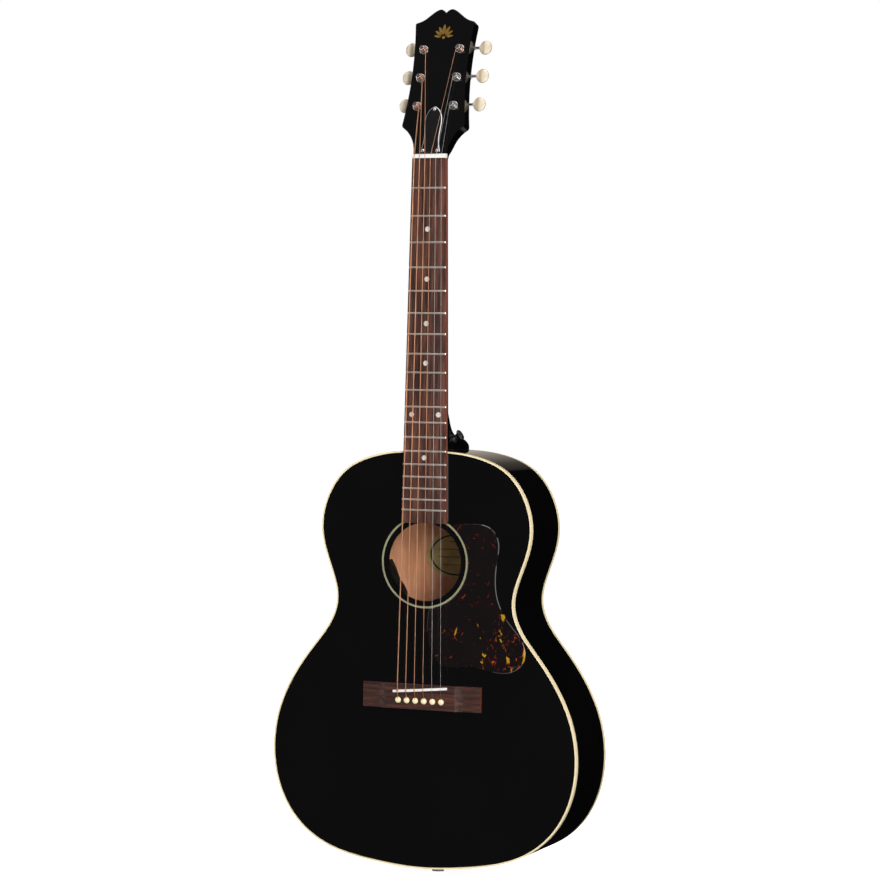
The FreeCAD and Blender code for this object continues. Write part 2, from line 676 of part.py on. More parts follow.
def head_lead(i, at_nut, crown):
    """Where the string leaves the nut, in the headstock's frame: across, depth and length."""
    tilt = math.radians(HEAD_TILT)
    y = NUT_SLOT_Y + crown - STRING_R[i] - HEAD_Y
    z = 0.8 - HEAD_Z
    return Vector(at_nut, y * math.cos(tilt) - z * math.sin(tilt), y * math.sin(tilt) + z * math.cos(tilt))


def post_tangent(i, lead):
    """The point beside the post where the string's winding begins, on the post's inner side."""
    x, s = post_places()[i]
    reach = POST_R + STRING_R[i] + STRING_GAP
    side = 1 if x < 0 else -1
    run = math.hypot(x - lead.x, s - lead.z)
    aim = math.atan2(x - lead.x, s - lead.z) + side * math.asin(reach / run)
    length = math.sqrt(run ** 2 - reach ** 2)
    return head_point(lead.x + length * math.sin(aim), -4.4, lead.z + length * math.cos(aim))


def bent_path(points, radii):
    """Straight runs joined by tangent arcs."""
    edges, start = [], points[0]
    for before, corner, after, radius in zip(points, points[1:], points[2:], radii):
        way_in, way_out = (corner - before).normalize(), (after - corner).normalize()
        turn = way_in.getAngle(way_out)
        enter = corner - way_in * (radius * math.tan(turn / 2))
        leave = corner + way_out * (radius * math.tan(turn / 2))
        inward = (way_out - way_in).normalize()
        middle = corner + inward * (radius / math.cos(turn / 2) - radius)
        edges += [Part.makeLine(start, enter), Part.Arc(enter, middle, leave).toShape()]
        start = leave
    return Part.Wire(edges + [Part.makeLine(start, points[-1])])


def string_tube(i, radius):
    points = string_points(i)
    path = bent_path(points, (6.0, 3.0, 1.6))
    ring = Part.Wire(Part.makeCircle(radius, points[0], points[1] - points[0]))
    return path.makePipeShell([ring], True, True)


def string_slot(i):
    """The slot in front of a bridge pin that the string goes down through."""
    half = STRING_R[i] + 0.12
    x, front = pin_x(i), STRING_HOLE_Z + half + 0.3
    down = box(x - half, x + half, -16, 20, PIN_Z + 1.7, front)
    ramp = box(x - half, x + half, -16, -BRIDGE_HIGH + 1.4, PIN_Z + 1.7, front + 2.4)
    return down.fuse(ramp)


def with_string_slots(shape):
    for i in range(6):
        shape = shape.cut(string_slot(i))
    return shape


def strings():
    wires = []
    for i in range(6):
        end = string_points(i)[-1] + Vector(0, BALL_R, BALL_R - 0.45)
        wires += [string_tube(i, STRING_R[i]), rod(end - X * 1.6, end + X * 1.6, BALL_R)]
    save("strings", group(wires))


# ---- pickguard ----
GUARD_THICK = 1.4
GUARD_BEVEL = 0.8


def pickguard():
    """A sheet with a bevelled edge, whose inner edge follows the rosette ring."""
    outer = [(7.4, -535.2), (4.7, -561.7), (8.2, -583.0), (22.0, -602.8), (63.9, -603.9),
             (107.7, -608.7), (127.6, -596.5), (128.9, -576.0), (108.9, -548.6), (93.6, -518.0),
             (93.6, -475.9), (94.4, -452.5), (85.4, -438.6), (66.0, -433.3), (36.8, -435.3)]
    curve = Part.BSplineCurve()
    curve.interpolate(Points=[Vector(x, 0, z) for x, z in outer])
    edge = curve.toShape()
    close = Part.makeLine(Vector(36.8, 0, -435.3), Vector(20.0, 0, -470.0))
    back = Part.makeLine(Vector(20.0, 0, -470.0), Vector(7.4, 0, -535.2))
    face = Part.Face(Part.Wire([edge, close, back]))
    sheet = face.extrude(Vector(0, -GUARD_THICK, 0))
    sheet = sheet.cut(rod(Vector(0, -5, HOLE_Z), Vector(0, 5, HOLE_Z), RING_OUTER + 0.3))
    sheet = max(sheet.Solids, key=lambda solid: solid.Volume)
    return sheet.makeChamfer(GUARD_BEVEL, [edge for edge in sheet.Edges if lies_at(edge, -GUARD_THICK)])


# ---- control unit, jack and strap button ----
CONTROL_ANGLE = 208.0          # seen from the front, from +X towards +Z
WHEEL_R = 8.0


def control_frame(shape):
    """Turn and move a shape from beside the soundhole's edge at +X to the control unit's place."""
    shape.rotate(Vector(), Y, -CONTROL_ANGLE)
    shape.translate(Vector(0, 0, HOLE_Z))
    return shape


def control_space():
    return control_frame(box(HOLE_R - 8, HOLE_R + 26, 0, 22, -30, 30))


def wheel_centre(z):
    return Vector(HOLE_R + 1.4, 6.9, z)


def control_unit():
    shell = box(HOLE_R - 3.4, HOLE_R + 16, PLATE, 18, -24, 24)
    shell = shell.cut(rod(Vector(0, -10, 0), Vector(0, 30, 0), HOLE_R - 2.2))
    for z in (-11.5, 11.5):
        centre = wheel_centre(z)
        shell = shell.cut(rod(centre - Vector(0, 2.0, 0), centre + Vector(0, 2.0, 0), WHEEL_R + 0.6))
        shell = shell.cut(rod(centre, centre + Vector(0, 6, 0), 1.5 + RUNNING))
    save("control_housing", control_frame(shell))
    for name, z in (("volume_wheel", -11.5), ("tone_wheel", 11.5)):
        save(name, control_frame(thumbwheel(wheel_centre(z))))


def thumbwheel(centre):
    disc = rod(centre - Vector(0, 1.6, 0), centre + Vector(0, 1.6, 0), WHEEL_R)
    for i in range(24):
        turn = math.radians(15 * i)
        place = centre + Vector(math.cos(turn), 0, math.sin(turn)) * (WHEEL_R + 0.25)
        disc = disc.cut(rod(place - Y * 2, place + Y * 2, 0.65))
    return fuse([disc, rod(centre, centre + Vector(0, 5.5, 0), 1.5)])


def end_jack():
    """A strap-button socket through the tail block, with its clamping nut inside."""
    y = back_y(-848) / 2
    profile = [(3.2, -830), (5.9, -830), (5.9, -849.0), (8.2, -849.0), (8.2, -850.6), (6.2, -852.4),
               (6.2, -856.2), (7.6, -857.8), (7.6, -859.4), (6.8, -860.4), (3.2, -860.4)]
    points = [Vector(a, 0, b) for a, b in profile]
    face = Part.Face(Part.makePolygon(points + points[:1]))
    sleeve = face.revolve(Vector(), Z, 360)
    sleeve.translate(Vector(0, y, 0))
    inner = rod(Vector(0, y, -812), Vector(0, y, -830), 5.9)
    inner = inner.cut(rod(Vector(0, y, -815), Vector(0, y, -840), 3.2))
    nut_ring = rod(Vector(0, y, -826), Vector(0, y, -822.5), 8.6).cut(jack_hole(5.92)).cut(inner)
    save("end_jack", group([fuse([sleeve, inner]), nut_ring]))


STRAP_AT = Vector(16.9, 42.0, BODY_Z + 13.5)
STRAP_WAY = Vector(0.86, 0.0, 0.51)


def strap_screw_hole():
    """The screw's hole in the heel, and a flat seat for the button."""
    return [rod(STRAP_AT - STRAP_WAY * 9, STRAP_AT + STRAP_WAY * 12, 1.85),
            rod(STRAP_AT + STRAP_WAY * 0.78, STRAP_AT + STRAP_WAY * 14, 6.0)]


def strap_button():
    """A turned button held to the heel by one screw."""
    profile = [(1.9, 0.8), (5.6, 0.8), (5.2, 2.0), (3.7, 4.6), (3.6, 8.0), (6.6, 10.6), (6.9, 11.8),
               (6.0, 12.8), (3.4, 13.0), (1.9, 11.4)]
    points = [Vector(a, 0, b) for a, b in profile]
    button = Part.Face(Part.makePolygon(points + points[:1])).revolve(Vector(), Z, 360)
    screw_profile = [(0, -8), (0.4, -8), (1.8, -5), (1.8, 11.3), (3.3, 12.9), (2.6, 13.6), (0, 13.9)]
    points = [Vector(a, 0, b) for a, b in screw_profile]
    screw = Part.Face(Part.makePolygon(points + points[:1])).revolve(Vector(), Z, 360)
    turn = FreeCAD.Rotation(Z, STRAP_WAY)
    both = group([button, screw])
    both.Placement = FreeCAD.Placement(STRAP_AT, turn)
    save("strap_button", both)


# ---- tuners, in the headstock's frame, drawn for the bass side at the given place along it ----
def plate_screws():
    places = [(19.2, s) for s in (POST_S[0] - 12.6, POST_S[0] + 19.6, POST_S[1] + 19.6, POST_S[2] + 19.6)]
    return [(side * x, s) for side in (-1, 1) for x, s in places]


def worm_along(s):
    return s + GEAR_R + WORM_R


def tuner_strip():
    """One plate for three tuners, with two bent-up lugs for each worm shaft."""
    low, high = POST_S[0] - 16.5, POST_S[2] + 23.5
    strip = box(-33.2, -13.6, HEAD_THICK, HEAD_THICK + STRIP, low, high)
    strip = rounded(strip, 3.0, lambda edge: abs(edge.tangentAt(edge.FirstParameter).y) > 0.99)
    parts = [strip]
    for w in [worm_along(s) for s in POST_S]:
        for x in (-32.2, -16.4):
            parts.append(box(x, x + 1.6, HEAD_THICK, GEAR_DEPTH + 3.2, w - 3.2, w + 3.2))
    plate = fuse(parts)
    for s in POST_S:
        w = worm_along(s)
        plate = plate.cut(rod(Vector(-40, GEAR_DEPTH, w), Vector(-5, GEAR_DEPTH, w), 1.75 + RUNNING))
        plate = plate.cut(rod(Vector(-POST_X, 0, s), Vector(-POST_X, 30, s), POST_R + 0.3))
    for x, s in plate_screws():
        plate = plate.cut(rod(Vector(x, 0, s), Vector(x, 30, s), 1.25))
    return plate


def worm_shaft(s):
    """Worm, journals and the square end that carries the button, lying across the headstock."""
    w = worm_along(s)
    profile = [(-12.6, 2.3), (-14.4, 2.3), (-14.4, 1.75), (-16.8, 1.75), (-16.8, 1.85), (-30.2, 1.85),
               (-30.2, 1.75), (-32.6, 1.75), (-32.6, 2.5), (-34.4, 2.5), (-34.4, 1.75), (-46.5, 1.75)]
    points = [Vector(x, r, 0) for x, r in profile]
    outline = [Vector(-12.6, 0, 0)] + points + [Vector(-46.5, 0, 0)]
    core = Part.Face(Part.makePolygon(outline + outline[:1])).revolve(Vector(), X, 360)
    core.translate(Vector(0, GEAR_DEPTH, w))
    return core.fuse(worm_thread(w))


def worm_thread(w):
    """A trapezoid thread whose crest faces the gear in line with the post."""
    turns = 4
    helix = Part.makeHelix(PITCH, turns * PITCH, WORM_R)
    half_root, half_tip = 0.17 * PITCH + 0.28, 0.17 * PITCH - 0.24
    section = [Vector(WORM_R - 0.85, 0, -half_root), Vector(WORM_R + 0.65, 0, -half_tip),
               Vector(WORM_R + 0.65, 0, half_tip), Vector(WORM_R - 0.85, 0, half_root)]
    wire = Part.makePolygon(section + section[:1])
    thread = Part.Wire(helix).makePipeShell([wire], True, True)
    thread.translate(Vector(0, 0, -turns * PITCH / 2))
    thread.rotate(Vector(), Y, 90)
    thread.translate(Vector(-POST_X, GEAR_DEPTH, w))
    return thread


def gear(s):
    """A thin-toothed wheel that meshes with the worm, screwed to the post's square end."""
    tip, root = GEAR_R + 0.6, GEAR_R - 0.95
    half_tip, half_root = 0.17 * PITCH - 0.22, 0.17 * PITCH + 0.35
    tooth = [Vector(-half_root, 0, root - 0.4), Vector(half_root, 0, root - 0.4), Vector(half_tip, 0, tip),
             Vector(-half_tip, 0, tip)]
    blank = rod(Vector(), Vector(0, GEAR_THICK, 0), root)
    teeth = []
    for i in range(TEETH):
        shape = Part.Face(Part.makePolygon(tooth + tooth[:1])).extrude(Vector(0, GEAR_THICK, 0))
        shape.rotate(Vector(), Y, 360.0 / TEETH * (i + 0.5))
        teeth.append(shape)
    wheel = fuse([blank] + teeth).cut(box(-1.9, 1.9, -1, 9, -1.9, 1.9))
    wheel.translate(Vector(-POST_X, GEAR_DEPTH - GEAR_THICK / 2, s))
    return wheel


def string_post(s):
    """Post with a waist and a string hole in front, a shoulder and a square end behind, and its screw."""
    shoulder = GEAR_DEPTH - GEAR_THICK / 2
    profile = [(0, -POST_FREE), (POST_R - 0.5, -POST_FREE), (POST_R, -POST_FREE + 0.6), (POST_R, -7.4),
               (POST_R - 0.35, -6.6), (POST_R - 0.35, -3.4), (POST_R, -2.6), (POST_R, 16.3), (3.9, 16.3),
               (3.9, shoulder), (0, shoulder)]
    points = [Vector(a, b, 0) for a, b in profile]
    post = Part.Face(Part.makePolygon(points + points[:1])).revolve(Vector(), Y, 360)
    square = box(-1.88, 1.88, shoulder, shoulder + GEAR_THICK, -1.88, 1.88)
    post = fuse([post, square]).cut(rod(Vector(-9, -5, 0), Vector(9, -5, 0), 0.9))
    end = Vector(0, shoulder + GEAR_THICK, 0)
    screw = rod(end, end + Vector(0, 1.5, 0), 2.9).cut(box(-3, 3, end.y + 0.9, end.y + 2, -0.35, 0.35))
    both = group([post, screw])
    both.translate(Vector(-POST_X, 0, s))
    return both


def ferrule(x, s):
    flange = rod(Vector(x, -1.3, s), Vector(x, 0, s), 5.45)
    flange = flange.makeFillet(0.6, [edge for edge in flange.Edges
                                     if edge.Closed and abs(edge.Vertexes[0].Point.y + 1.3) < 0.01])
    sleeve = rod(Vector(x, 0, s), Vector(x, 8, s), 4.4)
    return fuse([flange, sleeve]).cut(rod(Vector(x, -5, s), Vector(x, 20, s), POST_R + RUNNING))


def tuner_button(s):
    """An oval knob with rounded faces, pressed on the shaft's end."""
    w = worm_along(s)
    oval = Part.Ellipse(Vector(0, 8.75, 0), Vector(7.7, 0, 0), Vector())
    face = Part.Face(Part.Wire(oval.toShape()))
    face.rotate(Vector(), X, 90)
    disc = face.extrude(Vector(0, -6.4, 0))
    disc.translate(Vector(-48.0, GEAR_DEPTH + 3.2, w))
    disc = disc.makeFillet(2.6, [edge for edge in disc.Edges if edge.Closed])
    collar = rod(Vector(-39.2, GEAR_DEPTH, w), Vector(-43.5, GEAR_DEPTH, w), 2.9)
    button = fuse([disc, collar])
    return button.cut(rod(Vector(-30, GEAR_DEPTH, w), Vector(-46.55, GEAR_DEPTH, w), 1.76))


def tuners():
    strip = tuner_strip()
    save("tuner_plates", in_head(group([strip, mirrored(strip)])))
    save("ferrules", in_head(group([ferrule(x, s) for x, s in post_places()])))
    for i, (x, s) in enumerate(post_places(), start=1):
        makers = {"tuner_button": tuner_button, "worm_shaft": worm_shaft, "tuner_gear": gear,
                  "string_post": string_post}
        for name, make in makers.items():
            shape = make(s)
            save(name + "_" + str(i), in_head(shape if x < 0 else mirrored(shape)))


def main():
    os.makedirs("parts", exist_ok=True)
    body_shell()
    blocks_and_linings()
    bracing()
    save("soundhole_label", soundhole_label())
    neck()
    headstock_face()
    fingerboard_and_frets()
    nut()
    truss_parts()
    truss_cover()
    small_screws()
    bridge_group()
    strings()
    save("pickguard", pickguard())
    control_unit()
    end_jack()
    strap_button()
    tuners()


main()
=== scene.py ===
import json
import math

import bmesh
import bpy
from mathutils import Matrix, Quaternion, Vector


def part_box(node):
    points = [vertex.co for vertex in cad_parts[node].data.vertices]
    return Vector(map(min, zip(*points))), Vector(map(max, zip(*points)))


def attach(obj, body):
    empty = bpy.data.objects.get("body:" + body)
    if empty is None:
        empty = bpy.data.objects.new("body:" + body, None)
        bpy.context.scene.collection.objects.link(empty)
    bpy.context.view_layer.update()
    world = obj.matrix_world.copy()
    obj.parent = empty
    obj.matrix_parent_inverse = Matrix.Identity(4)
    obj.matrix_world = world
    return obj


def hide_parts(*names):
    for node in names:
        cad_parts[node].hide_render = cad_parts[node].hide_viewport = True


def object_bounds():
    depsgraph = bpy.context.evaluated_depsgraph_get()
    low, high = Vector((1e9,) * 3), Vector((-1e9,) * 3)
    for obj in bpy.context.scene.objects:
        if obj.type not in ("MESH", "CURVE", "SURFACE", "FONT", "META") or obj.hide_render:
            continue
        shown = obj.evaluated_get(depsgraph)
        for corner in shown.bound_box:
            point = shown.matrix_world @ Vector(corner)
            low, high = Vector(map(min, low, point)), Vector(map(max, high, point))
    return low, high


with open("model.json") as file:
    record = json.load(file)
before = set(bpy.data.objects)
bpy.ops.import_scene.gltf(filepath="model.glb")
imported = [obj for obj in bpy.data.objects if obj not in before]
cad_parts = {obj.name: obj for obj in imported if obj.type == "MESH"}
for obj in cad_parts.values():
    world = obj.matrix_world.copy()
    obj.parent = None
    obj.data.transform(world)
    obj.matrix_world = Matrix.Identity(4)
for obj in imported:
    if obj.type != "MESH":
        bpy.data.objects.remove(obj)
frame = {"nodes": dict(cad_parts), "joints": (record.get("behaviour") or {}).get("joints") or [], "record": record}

CAD_LOW, CAD_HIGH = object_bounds()
NODES = frame["nodes"]
MM = 0.001

# ---- places taken from the frame ----
JOINTS = {joint["name"]: joint for joint in frame["joints"]}
SETS = range(1, 7)                       # the six tuner sets, bass to treble
HEAD_BACK = Vector(JOINTS["post_1_turn"]["axis"])     # into the headstock, square to its face
HEAD_UP = Vector((1, 0, 0)).cross(HEAD_BACK)
BASS_SIDE = (1, 2, 3)                    # the sets on the headstock's bass side
WOUND = (1, 2, 3, 4)                     # the strings with a bronze winding
STRING_R = {1: 0.67 * MM, 2: 0.53 * MM, 3: 0.41 * MM, 4: 0.305 * MM, 5: 0.205 * MM, 6: 0.155 * MM}

# ---- camera ----
CAMERA_AT = Vector((1.2650, -3.0628, -0.2633))
CAMERA_YAW = math.radians(22.16)         # turned from +Y towards -X
CAMERA_DIP = math.radians(1.24)
CAMERA_ROLL = math.radians(0.86)
CAMERA_LENS = 113.645


# ---- shader helpers ----
class Paint:
    """One material, with short names for the nodes that paint it."""

    def __init__(self, name, **sockets):
        self.material = bpy.data.materials.new(name)
        self.material.use_nodes = True
        self.tree = self.material.node_tree
        self.shader = self.tree.nodes["Principled BSDF"]
        self.place = self.tree.nodes.new("ShaderNodeTexCoord")
        for socket, value in sockets.items():
            self.shader.inputs[socket.replace("_", " ")].default_value = value

    def node(self, kind, **settings):
        made = self.tree.nodes.new("ShaderNode" + kind)
        for key, value in settings.items():
            setattr(made, key, value)
        return made

    def feed(self, socket, source):
        if isinstance(source, (int, float)):
            socket.default_value = source
        elif isinstance(source, tuple):
            socket.default_value = source if len(source) == len(socket.default_value) else source + (1,)
        else:
            self.tree.links.new(source, socket)

    def at(self, scale=(1, 1, 1), turn=(0, 0, 0)):
        """The place on the part, in its own frame, stretched for a texture."""
        mapping = self.node("Mapping")
        self.tree.links.new(self.place.outputs["Object"], mapping.inputs["Vector"])
        mapping.inputs["Scale"].default_value = scale
        mapping.inputs["Rotation"].default_value = turn
        return mapping.outputs["Vector"]

    def axis(self, name, source="Object"):
        split = self.node("SeparateXYZ")
        self.tree.links.new(self.place.outputs[source], split.inputs[0])
        return split.outputs[name]

    def noise(self, vector, scale, detail=4.0, rough=0.5, warp=0.0):
        made = self.node("TexNoise")
        self.tree.links.new(vector, made.inputs["Vector"])
        settings = {"Scale": scale, "Detail": detail, "Roughness": rough, "Distortion": warp}
        for socket, value in settings.items():
            made.inputs[socket].default_value = value
        return made.outputs["Fac"]

    def wave(self, vector, scale, warp=0.0, detail_scale=1.0, direction="X"):
        made = self.node("TexWave", bands_direction=direction)
        self.tree.links.new(vector, made.inputs["Vector"])
        for socket, value in (("Scale", scale), ("Distortion", warp), ("Detail Scale", detail_scale)):
            made.inputs[socket].default_value = value
        return made.outputs["Fac"]

    def ramp(self, source, *stops):
        """Colours or values along a factor: (place, value) pairs."""
        made = self.node("ValToRGB")
        self.tree.links.new(source, made.inputs[0])
        steps = made.color_ramp.elements
        while len(steps) < len(stops):
            steps.new(0.5)
        for step, (place, value) in zip(steps, stops):
            step.position = place
            step.color = (value,) * 3 + (1,) if isinstance(value, (int, float)) else tuple(value) + (1,)
        return made.outputs["Color"]

    def mix(self, share, low, high):
        made = self.node("Mix", data_type="RGBA")
        self.feed(made.inputs[0], share)
        self.feed(made.inputs[6], low)
        self.feed(made.inputs[7], high)
        return made.outputs[2]

    def math(self, kind, a, b=0.0):
        made = self.node("Math", operation=kind)
        self.feed(made.inputs[0], a)
        self.feed(made.inputs[1], b)
        return made.outputs[0]

    def band(self, source, low, high, start=0.0, end=1.0):
        """Runs from start to end as the source goes from low to high."""
        made = self.node("MapRange")
        self.tree.links.new(source, made.inputs[0])
        for socket, value in zip(made.inputs[1:5], (low, high, start, end)):
            socket.default_value = value
        return made.outputs[0]

    def colour(self, source):
        self.tree.links.new(source, self.shader.inputs["Base Color"])
        return self

    def rough(self, source):
        self.tree.links.new(source, self.shader.inputs["Roughness"])
        return self

    def bump(self, height, distance, strength=1.0):
        made = self.node("Bump")
        made.inputs["Strength"].default_value = strength
        made.inputs["Distance"].default_value = distance
        self.tree.links.new(height, made.inputs["Height"])
        self.tree.links.new(made.outputs[0], self.shader.inputs["Normal"])
        return self


# ---- woods and lacquer ----
def lacquer_surface(p):
    """Colour and roughness of polished black lacquer, with faint clouding and wipe marks."""
    clouds = p.noise(p.at(), 9, 3)
    colour = p.ramp(clouds, (0.3, (0.0009, 0.0009, 0.0011)), (0.7, (0.0015, 0.0015, 0.0018)))
    wipes = p.noise(p.at((60, 60, 7)), 5, 6, 0.65)
    return colour, p.ramp(wipes, (0.35, 0.045), (0.75, 0.085))


def lacquer():
    p = Paint("black_lacquer", Coat_Weight=0.5, Coat_Roughness=0.02, Specular_IOR_Level=0.45)
    colour, rough = lacquer_surface(p)
    p.colour(colour).rough(rough)
    return p.bump(p.noise(p.at(), 130, 2), 0.00002, 0.25).material


def bare_wood(p, light, dark, stretch):
    """Colour and height of sanded wood: growth bands, fine grain and flecks along one direction."""
    bands = p.noise(p.at(stretch), 26, 3, 0.5, 0.6)
    grain = p.noise(p.at(tuple(8 * s for s in stretch)), 40, 5, 0.7)
    figure = p.noise(p.at(), 22, 3, 0.55, 1.2)
    colour = p.mix(p.ramp(bands, (0.35, 0.0), (0.62, 1.0)), light, dark)
    colour = p.mix(p.math("MULTIPLY", grain, 0.55), colour, dark)
    colour = p.mix(p.ramp(figure, (0.42, 0.0), (0.72, 0.4)), colour, tuple(0.55 * c for c in dark))
    return colour, grain


def two_faced(name, inside, light, dark, stretch):
    """Black lacquer outside and bare wood inside, told apart by which way the surface faces."""
    p = Paint(name, Specular_IOR_Level=0.45)
    shine, gloss = lacquer_surface(p)
    wood, grain = bare_wood(p, light, dark, stretch)
    side = inside(p)
    p.colour(p.mix(side, shine, wood))
    p.rough(p.mix(side, gloss, (0.62, 0.62, 0.62)))
    return p.bump(p.math("MULTIPLY", grain, side), 0.0001, 0.4).material


SPRUCE = ((0.66, 0.42, 0.24), (0.47, 0.26, 0.13))
MAHOGANY = ((0.88, 0.46, 0.265), (0.68, 0.31, 0.165))


def faces_back(p):
    return p.band(p.axis("Y", "Normal"), 0.4, 0.6)


def faces_front(p):
    return p.band(p.axis("Y", "Normal"), -0.4, -0.6)


def faces_inwards(p):
    """One where a rib's surface looks towards the middle of the body."""
    low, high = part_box("sides")
    out = p.math("MULTIPLY", p.axis("Z", "Normal"), p.math("SUBTRACT", p.axis("Z"), (low.z + high.z) / 2))
    across = p.math("MULTIPLY", p.axis("X", "Normal"), p.axis("X"))
    return p.band(p.math("ADD", out, across), 0.001, -0.001)


def spruce():
    p = Paint("spruce", Roughness=0.6)
    colour, grain = bare_wood(p, *SPRUCE, (9, 9, 0.7))
    return p.colour(colour).bump(grain, 0.00012, 0.4).material


def mahogany():
    p = Paint("mahogany", Roughness=0.6)
    colour, grain = bare_wood(p, *MAHOGANY, (7, 7, 0.5))
    return p.colour(colour).bump(grain, 0.00015, 0.4).material


def rosewood(name, stretch, dark, middle, warm):
    """Dark open-grained wood; the stretch is small along the grain. Faces turned to either side are painted
    lighter and redder, a painted highlight for the light that falls on the sides.
    """
    p = Paint(name, Specular_IOR_Level=0.35)
    streaks = p.noise(p.at(stretch), 28, 4, 0.6, 0.5)
    fine = p.noise(p.at(tuple(4 * s for s in stretch)), 60, 6, 0.75)
    pores = p.noise(p.at(tuple(9 * s for s in stretch)), 90, 2, 0.5)
    colour = p.ramp(streaks, (0.36, dark), (0.5, middle), (0.64, warm))
    colour = p.mix(p.math("MULTIPLY", fine, 0.5), colour, dark)
    pits = p.ramp(pores, (0.33, 1.0), (0.40, 0.0))
    colour = p.mix(p.math("MULTIPLY", pits, 0.7), colour, (0.012, 0.007, 0.006))
    # Painted light: faces turned to either side get a lighter, redder colour that stands for the light falling on
    # the sides.
    edge = p.band(p.math("ABSOLUTE", p.axis("X", "Normal")), 0.8, 0.95)
    colour = p.mix(p.math("MULTIPLY", edge, 0.75), colour, (0.19, 0.042, 0.02))
    p.colour(colour).rough(p.ramp(fine, (0.3, 0.38), (0.7, 0.56)))
    return p.bump(p.math("SUBTRACT", fine, pits), 0.00008, 0.5).material


# ---- plastics, bone, paper ----
def cream(name, low, high, gloss=0.22):
    """Cream plastic or bone with faint long bands and a polished surface."""
    p = Paint(name, Coat_Weight=0.35, Coat_Roughness=0.06)
    clouds = p.noise(p.at((3, 3, 1)), 45, 4, 0.6, 0.8)
    specks = p.noise(p.at(), 900, 3, 0.6)
    colour = p.mix(p.math("MULTIPLY", specks, 0.12), p.ramp(clouds, (0.3, low), (0.7, high)), low)
    p.colour(colour).rough(p.ramp(specks, (0.3, gloss), (0.7, gloss + 0.08)))
    return p.bump(clouds, 0.00004, 0.3).material


def button_ivory():
    """Pearly ivory plastic with soft bands along the guitar."""
    p = Paint("button_ivory", Coat_Weight=0.6, Coat_Roughness=0.04, Roughness=0.2)
    bands = p.wave(p.at((1, 1, 0.12)), 34, 5.0, 1.4)
    cloud = p.noise(p.at((1, 1, 0.4)), 120, 4, 0.6, 1.0)
    colour = p.ramp(bands, (0.15, (0.52, 0.42, 0.29)), (0.55, (0.70, 0.60, 0.45)), (0.9, (0.80, 0.71, 0.57)))
    colour = p.mix(p.math("MULTIPLY", cloud, 0.35), colour, (0.60, 0.49, 0.35))
    return p.colour(colour).bump(cloud, 0.00005, 0.2).material


def tortoise():
    """Near-black celluloid with red and amber flecks that gather towards its lower treble corner."""
    p = Paint("tortoise", Coat_Weight=0.6, Coat_Roughness=0.03, Specular_IOR_Level=0.4)
    low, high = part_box("pickguard")
    fleck = p.noise(p.at((1, 1, 0.8)), 150, 4, 0.6, 1.2)
    broad = p.noise(p.at((1, 1, 0.5)), 46, 4, 0.6, 1.8)
    across = p.band(p.axis("X"), low.x, high.x, 0, 0.55)
    down = p.band(p.axis("Z"), high.z, low.z, 0, 0.45)
    corner = p.math("ADD", across, down)
    gather = p.band(corner, 0.60, 1.0, 0.0, 0.15)
    spots = p.math("ADD", fleck, p.math("MULTIPLY", gather, 0.6))
    patches = p.math("ADD", broad, p.math("MULTIPLY", gather, 1.15))
    dark = p.ramp(p.noise(p.at(), 30, 3), (0.3, (0.0025, 0.0018, 0.002)), (0.7, (0.0055, 0.0022, 0.0022)))
    red = p.ramp(spots, (0.64, 0.0), (0.68, 1.0))
    amber = p.ramp(spots, (0.70, 0.0), (0.73, 1.0))
    gold = p.ramp(patches, (0.69, 0.0), (0.73, 1.0))
    colour = p.mix(red, dark, (0.16, 0.010, 0.004))
    colour = p.mix(amber, colour, (0.42, 0.09, 0.005))
    colour = p.mix(gold, colour, (0.42, 0.22, 0.006))
    scratches = p.noise(p.at((1, 1, 1), (0, 0.7, 0)), 420, 2, 0.5, 6.0)
    p.colour(colour).rough(p.ramp(scratches, (0.4, 0.06), (0.8, 0.14)))
    return p.bump(p.noise(p.at(), 60, 2), 0.00003, 0.25).material


def paper():
    """An aged paper label: a dark oval line near its edge and plain ruled lines."""
    p = Paint("label_paper", Roughness=0.75, Specular_IOR_Level=0.2)
    low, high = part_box("soundhole_label")
    middle, half = (low + high) / 2, (high - low) / 2
    x = p.math("DIVIDE", p.math("SUBTRACT", p.axis("X"), middle.x), half.x)
    z = p.math("DIVIDE", p.math("SUBTRACT", p.axis("Z"), middle.z), half.z)
    out = p.math("SQRT", p.math("ADD", p.math("MULTIPLY", x, x), p.math("MULTIPLY", z, z)))
    line = p.ramp(out, (0.80, 0.0), (0.815, 1.0), (0.865, 1.0), (0.88, 0.0))
    ruled = p.ramp(p.wave(p.at(), 33, 0, 1, "Z"), (0.93, 0.0), (0.97, 1.0))
    ruled = p.math("MULTIPLY", ruled, p.ramp(out, (0.60, 1.0), (0.64, 0.0)))
    stain = p.noise(p.at(), 60, 5, 0.6)
    sheet = p.ramp(stain, (0.3, (0.44, 0.33, 0.13)), (0.7, (0.60, 0.47, 0.21)))
    ink = p.math("MAXIMUM", line, p.math("MULTIPLY", ruled, 0.55))
    p.colour(p.mix(p.math("MULTIPLY", ink, 0.9), sheet, (0.03, 0.022, 0.012)))
    return p.bump(p.noise(p.at(), 1500, 3), 0.00003, 0.4).material


def black_plastic(name, gloss, grain_depth):
    p = Paint(name)
    grain = p.noise(p.at(), 1400, 3, 0.6)
    p.colour(p.ramp(p.noise(p.at(), 80, 3), (0.3, (0.004, 0.004, 0.004)), (0.7, (0.009, 0.009, 0.008))))
    return p.rough(p.ramp(grain, (0.3, gloss), (0.7, gloss + 0.1))).bump(grain, grain_depth, 0.5).material


COVER_FOOT = 57.7 * MM                   # from the lowest posts down to where the white ply stops
WHITE_PLY = (0.90 * MM, 1.67 * MM)       # where the white ply lies, above the headstock's face
PLY_BLUR = 0.05 * MM
FOOT_BLUR = 0.2 * MM


def along(p, way):
    """How far a place lies along a direction that has no sideways part."""
    return p.math("ADD", p.math("MULTIPLY", p.axis("Y"), way.y), p.math("MULTIPLY", p.axis("Z"), way.z))


